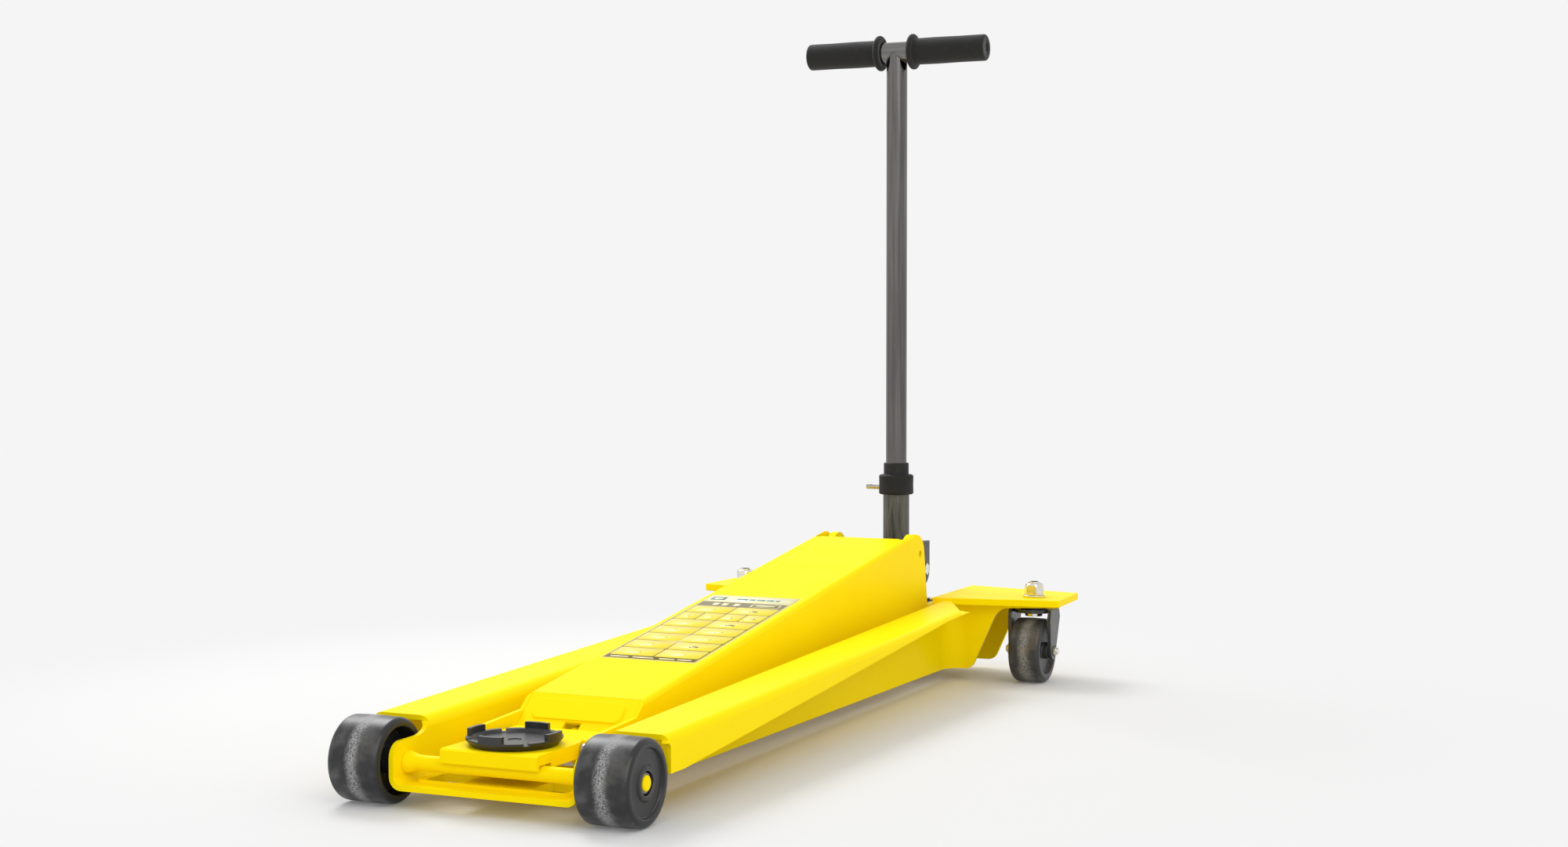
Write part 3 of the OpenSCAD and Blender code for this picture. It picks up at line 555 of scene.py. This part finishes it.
print("scene: finishes")
wheelTone = {"base": (0.022, 0.022, 0.024, 1), "scuff": (0.36, 0.36, 0.36, 1), "stain": (0.10, 0.085, 0.03, 1)}
castorTone = {"base": (0.036, 0.036, 0.037, 1), "scuff": (0.30, 0.29, 0.27, 1), "stain": (0.13, 0.085, 0.035, 1)}
finishes = {
    "yellow_paint": yellowPaint(),
    "cast_housing": coatedMetal("castHousing", (0.030, 0.030, 0.031, 1), (0.055, 0.054, 0.052, 1),
                                (0.20, 0.19, 0.18, 1), (0.45, 0.7), 240.0, 0.0004),
    "dark_steel": coatedMetal("darkSteel", (0.050, 0.048, 0.045, 1), (0.085, 0.080, 0.074, 1),
                              (0.30, 0.28, 0.25, 1), (0.38, 0.6), 300.0, 0.0001, metallic=0.4),
    "bright_steel": metal("brightSteel", (0.40, 0.39, 0.38, 1), (0.58, 0.57, 0.55, 1), rough=(0.22, 0.38)),
    "zinc_fasteners": metal("zincPlate", (0.66, 0.64, 0.58, 1), (0.84, 0.82, 0.77, 1), rough=(0.10, 0.24)),
    "bronze": metal("bronze", (0.42, 0.25, 0.10, 1), (0.62, 0.40, 0.19, 1), rough=(0.25, 0.45)),
    "spring_steel": metal("springSteel", (0.16, 0.16, 0.17, 1), (0.28, 0.28, 0.29, 1), rough=(0.25, 0.4)),
    "label_film": printedFilm("labelCream", (0.93, 0.90, 0.52, 1)),
    "black_casting": coatedMetal("blackEnamel", (0.014, 0.014, 0.015, 1), (0.024, 0.024, 0.025, 1),
                                 (0.11, 0.11, 0.11, 1), (0.36, 0.55), 170.0, 0.00035, wear=0.4),
    "ram_chrome": metal("ramChrome", (0.62, 0.62, 0.64, 1), (0.78, 0.78, 0.80, 1),
                        stretch=(1, 1, 1), rough=(0.05, 0.12)),
    "mill_steel": metal("millSteel", (0.075, 0.072, 0.064, 1), (0.165, 0.158, 0.140, 1),
                        stretch=(1, 1, 0.06), scale=90.0, rough=(0.36, 0.55), bump=0.00005),
    "post_chrome": metal("postSteel", (0.115, 0.110, 0.108, 1), (0.180, 0.173, 0.170, 1),
                         stretch=(1, 1, 0.02), scale=60.0, rough=(0.13, 0.22), bump=0.00001),
    "collar_plastic": mouldedPlastic(),
    "grip_rubber": foamRubber(),
    "fork_steel": coatedMetal("forkSteel", (0.050, 0.050, 0.051, 1), (0.080, 0.080, 0.080, 1),
                              (0.42, 0.42, 0.41, 1), (0.30, 0.5), 260.0, 0.00012, wear=0.8, metallic=0.5),
}
barSteel = metal("barSteel", (0.155, 0.148, 0.146, 1), (0.215, 0.207, 0.204, 1),
                 stretch=(0.02, 1, 1), scale=60.0, rough=(0.13, 0.22), bump=0.00001)


def finishPiece(bm, name, material, body, slot, stands=(), bevel=0.0, segments=3, angle=32):
    mesh = bpy.data.meshes.new(name)
    bm.to_mesh(mesh)
    bm.free()
    for extra in material if isinstance(material, (list, tuple)) else [material]:
        mesh.materials.append(extra)
    mesh.shade_smooth()
    piece = bpy.data.objects.new(name, mesh)
    bpy.context.scene.collection.objects.link(piece)
    if bevel > 0:
        edge = piece.modifiers.new("softEdges", "BEVEL")
        edge.width = bevel
        edge.segments = segments
        edge.limit_method = "ANGLE"
        edge.angle_limit = math.radians(angle)
        edge.use_clamp_overlap = True
        weighted = piece.modifiers.new("evenShading", "WEIGHTED_NORMAL")
        weighted.weight = 60
    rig.ride(piece, body)
    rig.slot(piece, slot)
    if stands:
        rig.replaces(piece, *stands)
    return piece


def softCopy(node, bevel, segments=3, angle=32, material=None):
    # The CAD part's own shape with its sharp edges rounded.
    bm = bmesh.new()
    bm.from_mesh(nodes[node].data)
    bmesh.ops.remove_doubles(bm, verts=bm.verts, dist=0.000002)
    bmesh.ops.dissolve_limit(bm, angle_limit=math.radians(0.4), verts=bm.verts, edges=bm.edges)
    slot = slotOf[node]
    finish = material or finishes[slot]
    return finishPiece(bm, node + "_soft", finish, bodyOf[node], slot, (node,), bevel, segments, angle)


def arcPoints(centreR, centreA, radius, start, end, steps):
    # Points of an arc in a wheel's section, as (distance from the axis, distance along it).
    angles = [math.radians(start + (end - start) * i / steps) for i in range(steps + 1)]
    return [(centreR + radius * math.cos(a), centreA + radius * math.sin(a)) for a in angles]


def revolve(profile, centre, axis, steps=128, side=1, closed=True):
    # Spins a section, given in millimetres, about a line through centre.
    axis = Vector(axis)
    outward = Vector((0, 0, 1)) if abs(axis.z) < 0.5 else Vector((0, 1, 0))
    bm = bmesh.new()
    verts = [bm.verts.new(centre + outward * r * mm + axis * a * side * mm) for r, a in profile]
    edges = [bm.edges.new(pair) for pair in zip(verts, verts[1:])]
    if closed:
        edges.append(bm.edges.new((verts[-1], verts[0])))
    bmesh.ops.spin(bm, geom=verts + edges, cent=centre, axis=axis, angle=turn, steps=steps, use_merge=True)
    bmesh.ops.remove_doubles(bm, verts=bm.verts, dist=0.000002)
    bmesh.ops.recalc_face_normals(bm, faces=bm.faces)
    return bm


def middle(node):
    low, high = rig.box(node)
    return (low + high) / 2, (high - low) / 2


frontWheel = {"hubR": 16, "webR": 36, "recess": 20, "dish": 4, "dishR": 40, "shoulder": 6.5, "boreR": 9.1}


def buildFrontWheel(sideName, side):
    node = "front_wheel_" + sideName
    centre, half = middle(node)
    w, r, f = half.x / mm, half.z / mm, frontWheel
    s = f["shoulder"]
    crown = 0.7
    section = [(f["boreR"], -w + 2), (f["hubR"], -w + 2), (f["hubR"], -w + f["recess"]),
               (f["webR"], -w + f["recess"]), (f["webR"] + 3, -w + 1.2), (f["webR"] + 4.5, -w)]
    section += arcPoints(r - crown - s, -w + s, s, -90, -6, 7)
    section += [(r - 0.3, -w * 0.4), (r, 0), (r - 0.3, w * 0.4)]
    section += arcPoints(r - crown - s, w - s, s, 6, 90, 7)
    section += [(f["dishR"], w), (f["dishR"] - 1.2, w - 0.7), (f["dishR"] - 2.8, w - f["dish"]),
                (f["dishR"] - 12, w - f["dish"] - 0.6), (21, w - f["dish"]), (18.5, w - 1.6), (13.6, w - 1.5),
                (13.4, w - 8), (f["boreR"], w - 8)]
    material = wheelMaterial("wheelPolymer_" + sideName, node, r * mm, 0.0125, wheelTone["base"],
                             wheelTone["scuff"], wheelTone["stain"], 0.25)
    bm = revolve(section, centre, (1, 0, 0), 144, side)
    finishPiece(bm, node + "_moulded", material, node, slotOf[node], (node,), 0.0006, 2, 24)


castorWheel = {"hubR": 13, "webR": 35, "recess": 6, "shoulder": 7, "boreR": 5.05}


def buildCastorWheel(sideName, side):
    node = "castor_wheel_" + sideName
    centre, half = middle(node)
    w, r, c = half.x / mm - 3, half.z / mm, castorWheel
    s = c["shoulder"]
    oneSide = [(c["boreR"], w + 3), (c["hubR"] - 1, w + 3), (c["hubR"], w + 2), (c["hubR"], w - c["recess"]),
               (c["webR"], w - c["recess"]), (c["webR"] + 2, w - 0.8), (c["webR"] + 3.2, w)]
    oneSide += arcPoints(r - 0.5 - s, w - s, s, 90, 8, 7)
    oneSide += [(r - 0.2, w * 0.35)]
    section = oneSide + [(r, 0)] + [(radius, -along) for radius, along in reversed(oneSide)]
    material = wheelMaterial("castorTread_" + sideName, node, r * mm, 0.014, castorTone["base"],
                             castorTone["scuff"], castorTone["stain"], 0.75)
    bm = revolve(section, centre, (1, 0, 0), 128, side)
    finishPiece(bm, node + "_moulded", material, node, slotOf[node], (node,), 0.0005, 2, 24)


grip = {"flangeR": 28.5, "flangeW": 9, "bore": 16.85, "endRound": 3.5}


def buildGrip(sideName, side):
    node = "grip_" + sideName
    low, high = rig.box(node)
    inner = min(abs(low.x), abs(high.x)) / mm
    outer = max(abs(low.x), abs(high.x)) / mm
    centre = Vector((0, (low.y + high.y) / 2, (low.z + high.z) / 2))
    body = grip["flangeR"] - 7.5
    section = [(grip["bore"], inner)]
    section += arcPoints(grip["flangeR"] - 4.5, inner + 4.5, 4.5, -90, 90, 10)
    section += arcPoints(body + 3, inner + grip["flangeW"] + 3, 3, -90, -180, 5)
    section += [(body + 0.35, inner + 42), (body - 0.15, inner + 84)]
    section += arcPoints(body - grip["endRound"], outer - grip["endRound"], grip["endRound"], 0, 90, 6)
    section += arcPoints(5.4, outer, 1.6, 0, -90, 3)
    section += [(0, outer - 1.6)]
    section += [(0, outer - 4), (grip["bore"], outer - 4)]
    bm = revolve(section, centre, (1, 0, 0), 112, side)
    finishPiece(bm, node + "_foam", finishes["grip_rubber"], bodyOf[node], slotOf[node], (node,))


def buildCollar():
    node = "post_collar"
    low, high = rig.box(node)
    centre = Vector(((low.x + high.x) / 2, (low.y + high.y) / 2, 0))
    z0, z1 = low.z / mm, high.z / mm
    shoulder = z0 + 32
    section = [(21.4, z0)]
    section += arcPoints(25, z0 + 3, 3, -90, 0, 5)
    section += [(27.7, z0 + 16)]
    section += arcPoints(24.5, shoulder - 3.5, 3.5, 0, 90, 6)
    section += arcPoints(21.5, shoulder + 1.2, 1.2, -90, -180, 3)
    section += [(20.3, z1 - 2)]
    section += arcPoints(18.8, z1 - 1.5, 1.5, 0, 90, 3)
    section += [(17.1, z1), (17.1, z0 + 24), (21.4, z0 + 24)]
    bm = revolve(section, centre, (0, 0, 1), 112)
    finishPiece(bm, node + "_moulded", finishes["collar_plastic"], bodyOf[node], slotOf[node], (node,))


spring = {"turns": 6.5, "wire": 1.4, "coil": 13.2, "keep": 0.31}


def buildSpring():
    node = "plunger_spring"
    low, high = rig.box(node)
    centre = (low + high) / 2
    wire = spring["wire"] * mm
    curve = bpy.data.curves.new(node + "_coil", "CURVE")
    curve.dimensions = "3D"
    curve.bevel_depth = wire
    curve.bevel_resolution = 3
    curve.use_fill_caps = True
    steps = int(spring["turns"] * 28)
    line = curve.splines.new("POLY")
    line.points.add(steps)
    rise = high.z - low.z - 2 * wire
    for i in range(steps + 1):
        angle = turn * spring["turns"] * i / steps
        # The first and last turn lie flat, as a ground spring's do.
        t = min(max((i / steps - 0.1) / 0.8, 0.0), 1.0)
        reach = spring["coil"] * mm
        line.points[i].co = (centre.x + reach * math.cos(angle), centre.y + reach * math.sin(angle),
                             low.z + wire + rise * t, 1)
    holder = bpy.data.objects.new("springCurve", curve)
    bpy.context.scene.collection.objects.link(holder)
    bpy.context.view_layer.update()
    shape = bpy.data.meshes.new_from_object(holder.evaluated_get(bpy.context.evaluated_depsgraph_get()))
    bpy.data.objects.remove(holder)
    bm = bmesh.new()
    bm.from_mesh(shape)
    bmesh.ops.remove_doubles(bm, verts=bm.verts, dist=0.000002)
    bmesh.ops.recalc_face_normals(bm, faces=bm.faces)
    piece = finishPiece(bm, node + "_coil", finishes["spring_steel"], "chassis", slotOf[node], (node,))
    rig.squash(piece, "pump_stroke", axis=(0, 0, 1), anchor=(centre.x, centre.y, low.z), keep=spring["keep"])


castorBolt = {"pitch": 2.5, "threadR": 9, "rootR": 7.9, "capR": 14.0}


def buildCastorBolts():
    # A thread on the stud's end and the rounded locking collar on top of each nut.
    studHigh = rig.box("castor_studs")[1]
    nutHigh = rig.box("castor_nuts")[1]
    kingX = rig.box("castor_washers")[1].x - 17.5 * mm
    kingY = (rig.box("castor_washers")[0].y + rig.box("castor_washers")[1].y) / 2
    top, nutTop = studHigh.z / mm, nutHigh.z / mm
    section = [(0, nutTop - 4)]
    z = nutTop - 4
    while z < top - 1.6:
        section += [(castorBolt["rootR"], z), (castorBolt["threadR"] - 0.1, z + castorBolt["pitch"] / 2)]
        z += castorBolt["pitch"]
    section += [(castorBolt["rootR"], top - 1.2), (castorBolt["rootR"] - 1.2, top), (0, top)]
    cap = [(9.2, nutTop - 3), (castorBolt["capR"] - 0.4, nutTop - 3), (castorBolt["capR"], nutTop - 1.5)]
    cap += arcPoints(castorBolt["capR"] - 3.4, nutTop - 0.6, 3.4, 0, 90, 6)
    cap += [(9.8, nutTop + 2.6), (9.2, nutTop + 1.8)]
    for sideName, side in (("left", -1), ("right", 1)):
        centre = Vector((side * kingX, kingY, 0))
        bm = revolve(section, centre, (0, 0, 1), 64, closed=False)
        finishPiece(bm, "stud_thread_" + sideName, finishes["zinc_fasteners"], "chassis", "zinc_fasteners")
        bm = revolve(cap, centre, (0, 0, 1), 64)
        finishPiece(bm, "nut_collar_" + sideName, finishes["zinc_fasteners"], "chassis", "zinc_fasteners")


def addBead(name, points, size, material, body, slot, closed=False):
    # A slightly rippled weld run along a line of points.
    curve = bpy.data.curves.new(name, "CURVE")
    curve.dimensions = "3D"
    curve.bevel_depth = size
    curve.bevel_resolution = 3
    curve.use_fill_caps = not closed
    line = curve.splines.new("POLY")
    line.points.add(len(points) - 1)
    line.use_cyclic_u = closed
    for i, point in enumerate(points):
        line.points[i].co = (*point, 1)
        line.points[i].radius = 1.0 + 0.16 * math.sin(i * 2.1)
    holder = bpy.data.objects.new(name + "Line", curve)
    bpy.context.scene.collection.objects.link(holder)
    bpy.context.view_layer.update()
    shape = bpy.data.meshes.new_from_object(holder.evaluated_get(bpy.context.evaluated_depsgraph_get()))
    bpy.data.objects.remove(holder)
    bm = bmesh.new()
    bm.from_mesh(shape)
    bmesh.ops.recalc_face_normals(bm, faces=bm.faces)
    finishPiece(bm, name, material, body, slot)


def straightRun(start, end, spacing=0.003):
    start, end = Vector(start), Vector(end)
    count = max(2, int((end - start).length / spacing))
    return [start.lerp(end, i / count) for i in range(count + 1)]


def buildWelds():
    # Where the post is coped to the crossbar: the two tubes have one radius, so the seam is |x| = |z|.
    low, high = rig.box("upper_post")
    barLow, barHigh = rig.box("crossbar")
    centreY, barZ = (low.y + high.y) / 2, (barLow.z + barHigh.z) / 2
    r = (high.x - low.x) / 2
    seam = []
    for i in range(72):
        angle = turn * i / 72
        seam.append((r * math.sin(angle), centreY + r * math.cos(angle), barZ - abs(r * math.sin(angle))))
    addBead("post_weld", seam, 0.0011, finishes["post_chrome"], bodyOf["upper_post"], "post_chrome", True)
    for side, sideName in ((-1, "left"), (1, "right")):
        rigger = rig.box("outrigger_" + sideName)
        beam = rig.box("beam_" + sideName)
        under = rigger[1].z - 10 * mm
        gussetY = beam[1].y
        rows = straightRun((side * 0.155, gussetY + 0.0006, under), (side * 0.296, gussetY + 0.0006, under))
        addBead("gusset_weld_" + sideName, rows, 0.0022, finishes["yellow_paint"], "chassis", "yellow_paint")
        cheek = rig.box("unit_cheek_" + sideName)
        x = cheek[1].x if side > 0 else cheek[0].x
        rows = straightRun((x + side * 0.0006, cheek[1].y - 0.1, 0.0276), (x + side * 0.0006, cheek[1].y, 0.0276))
        addBead("cheek_weld_" + sideName, rows, 0.0022, finishes["yellow_paint"], "chassis", "yellow_paint")


label = {"slope": 8.0, "film": 0.6, "margin": 3.0, "line": 1.6, "corner": 3.2, "rows": 7, "step": 0.05}
inks = {
    "brown": printedFilm("inkBrown", (0.17, 0.115, 0.002, 1)),
    "cell": printedFilm("filmYellow", (0.98, 0.78, 0.035, 1)),
    "teal": printedFilm("inkTeal", (0.035, 0.22, 0.27, 1)),
    "pale": printedFilm("inkPale", (0.94, 0.88, 0.50, 1)),
}
inkOrder = list(inks)


def inkPatch(bm, u0, v0, u1, v1, ink, layer, corner=0.0):
    # One printed patch in label millimetres; a higher layer lies on a lower one.
    place = Matrix.Translation(((u0 + u1) / 2, (v0 + v1) / 2, layer * label["step"]))
    size = Matrix.Diagonal((u1 - u0, v1 - v0, 1, 1))
    made = bmesh.ops.create_grid(bm, x_segments=1, y_segments=1, size=0.5, matrix=place @ size)
    verts = made["verts"]
    faces = {face for vert in verts for face in vert.link_faces}
    for face in faces:
        face.material_index = inkOrder.index(ink)
    if corner > 0:
        bmesh.ops.bevel(bm, geom=verts, offset=corner, offset_type="OFFSET", segments=4, profile=0.5,
                        affect="VERTICES", clamp_overlap=True, material=-1)


def inkDisc(bm, u, v, radius, ink, layer):
    place = Matrix.Translation((u, v, layer * label["step"]))
    made = bmesh.ops.create_circle(bm, cap_ends=True, segments=16, radius=radius, matrix=place)
    for face in {face for vert in made["verts"] for face in vert.link_faces}:
        face.material_index = inkOrder.index(ink)


def drawSign(bm, kind, u, v, size):
    # Small plain signs: a car, a jack, a wheel, bars and a cross.
    s = size
    if kind == "car":
        inkPatch(bm, u - 9 * s, v - 2 * s, u + 9 * s, v + 1.4 * s, "brown", 3, 1.0 * s)
        inkPatch(bm, u - 4 * s, v + 1.0 * s, u + 5 * s, v + 4 * s, "brown", 3, 1.2 * s)
        for wheel in (-5, 5):
            inkDisc(bm, u + wheel * s, v - 2.4 * s, 1.8 * s, "brown", 4)
    elif kind == "jack":
        inkPatch(bm, u - 9 * s, v - 2 * s, u + 7 * s, v - 0.6 * s, "brown", 3)
        inkPatch(bm, u + 5.6 * s, v - 2 * s, u + 6.8 * s, v + 5 * s, "brown", 3)
        inkPatch(bm, u - 8 * s, v + 0.4 * s, u - 4 * s, v + 1.6 * s, "brown", 3)
    elif kind == "wheel":
        inkDisc(bm, u, v, 4.2 * s, "brown", 3)
        inkDisc(bm, u, v, 2.2 * s, "cell", 4)
        inkDisc(bm, u, v, 0.8 * s, "brown", 5)
    elif kind == "bars":
        for i in range(4):
            inkPatch(bm, u - 9 * s + i * 5 * s, v - 4 * s, u - 8.2 * s + i * 5 * s, v + 4 * s, "brown", 3)
    elif kind == "cross":
        inkPatch(bm, u - 5 * s, v - 0.5 * s, u + 5 * s, v + 0.5 * s, "brown", 3)
        inkPatch(bm, u - 0.5 * s, v - 4 * s, u + 0.5 * s, v + 4 * s, "brown", 4)


def buildLabelPrint():
    low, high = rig.box("label_plate")
    slope = math.radians(label["slope"])
    along = Vector((0, math.cos(slope), math.sin(slope)))
    up = Vector((0, -math.sin(slope), math.cos(slope)))
    start = Vector((0, low.y, low.z)) + Vector((0, label["film"] * mm * math.sin(slope), 0))
    halfW = (high.x - low.x) / 2 / mm
    length = (high.y - start.y) / mm / math.cos(slope)
    m = label["margin"]
    bm = bmesh.new()
    inkPatch(bm, -halfW + 0.8, 0.8, halfW - 0.8, length - 0.8, "brown", 0.6, 2.4)
    inkPatch(bm, -halfW + 1.5, 1.5, halfW - 1.5, length - 1.5, "cell", 1, 2.0)
    header, band, foot = 34, 24, 12
    inkPatch(bm, -halfW + m, length - m - header, halfW - m, length - m, "pale", 2)
    inkPatch(bm, -halfW + m, m, halfW - m, length - m - header, "brown", 2)
    top = length - m
    inkPatch(bm, -halfW + m + 5, top - 24, -halfW + m + 27, top - 8, "teal", 3)
    inkPatch(bm, -halfW + m + 9, top - 20, -halfW + m + 23, top - 12, "pale", 4, 2.0)
    for i, wide in enumerate((16, 9, 13, 11, 7)):
        u = -20 + sum((16, 9, 13, 11, 7)[:i]) + i * 2.2
        inkPatch(bm, u, top - 20, u + wide, top - 13, "teal", 3)
    bandTop = top - header
    for u in (-44, -30, -12):
        inkPatch(bm, u, bandTop - 18, u + 9, bandTop - 6, "pale", 3, 2.0)
    inkPatch(bm, 14, bandTop - 19, 58, bandTop - 5, "pale", 3, 2.0)
    inkPatch(bm, 16, bandTop - 17, 56, bandTop - 7, "brown", 4, 1.5)
    inkPatch(bm, 22, bandTop - 14, 50, bandTop - 10, "pale", 5)
    for u, wide in ((-58, 26), (-26, 30), (12, 22), (38, 20)):
        inkPatch(bm, u, m + 4, u + wide, m + 8, "pale", 3)
    signs = [("jack", "bars"), ("jack", "car"), ("jack", "jack"), ("cross", "jack"), ("cross", "car"),
             ("wheel", "jack", "wheel", "car"), ("jack", "car")]
    gridTop, gridLow = bandTop - band, m + foot
    tall = (gridTop - gridLow) / label["rows"]
    wideAll = 2 * (halfW - m) - label["line"]
    for row, kinds in enumerate(signs):
        v0 = gridLow + row * tall
        wide = wideAll / len(kinds)
        for column, kind in enumerate(kinds):
            u0 = -halfW + m + label["line"] / 2 + column * wide
            gap = label["line"] / 2
            inkPatch(bm, u0 + gap, v0 + gap, u0 + wide - gap, v0 + tall - gap, "cell", 3, label["corner"])
            size = 0.85 if len(kinds) == 2 else 0.6
            marks = bmesh.new()
            drawSign(marks, kind, u0 + wide / 2, v0 + tall * 0.45, size)
            bmesh.ops.translate(marks, verts=marks.verts, vec=(0, 0, label["step"]))
            copy = bpy.data.meshes.new("signMarks")
            marks.to_mesh(copy)
            marks.free()
            bm.from_mesh(copy)
            bpy.data.meshes.remove(copy)
    bmesh.ops.solidify(bm, geom=bm.faces[:], thickness=0.04)
    bmesh.ops.recalc_face_normals(bm, faces=bm.faces)
    lay = Matrix.Translation(start + up * (label["film"] * mm + 0.00004))
    tilt = Matrix((Vector((1, 0, 0)), along, up)).transposed().to_4x4()
    bmesh.ops.transform(bm, matrix=lay @ tilt @ Matrix.Scale(mm, 4), verts=bm.verts)
    finishPiece(bm, "label_print", list(inks.values()), bodyOf["label_plate"], "label_film")


print("scene: wheels, grips and collar")
for sideName, side in (("left", -1), ("right", 1)):
    buildFrontWheel(sideName, side)
    buildCastorWheel(sideName, side)
    buildGrip(sideName, side)
buildCollar()
buildSpring()
buildCastorBolts()

print("scene: softened parts")
edges = {  # rounding in metres, by node
    "beam_left": 0.0014, "beam_right": 0.0014, "front_pan": 0.0014, "outrigger_left": 0.0016,
    "outrigger_right": 0.0016, "arm_shell": 0.0014, "arm_nose": 0.0008, "saddle_carrier": 0.0016,
    "unit_cheek_left": 0.0012, "unit_cheek_right": 0.0012, "floor_plate": 0.0012, "power_unit": 0.0016,
    "reservoir": 0.0014, "crosshead": 0.0016, "yoke": 0.0012, "saddle": 0.0009, "castor_fork_left": 0.0011,
    "castor_fork_right": 0.0011, "label_plate": 0.00015,
}
ownFinish = {"crossbar": barSteel, "saddle_bolt": finishes["black_casting"],
             "castor_bearings": finishes["fork_steel"]}
standing = {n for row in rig.table()["pieces"] for n in row.get("replaces", [])}
for node in sorted(nodes):
    if node not in standing:
        softCopy(node, edges.get(node, 0.0005), material=ownFinish.get(node))

print("scene: welds and label")
buildWelds()
buildLabelPrint()

with open("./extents.json", "w") as out:
    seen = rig.bounds()
    json.dump({"cad": [list(v) for v in cadBox], "visual": [list(v) for v in seen]}, out)
print("scene: done")
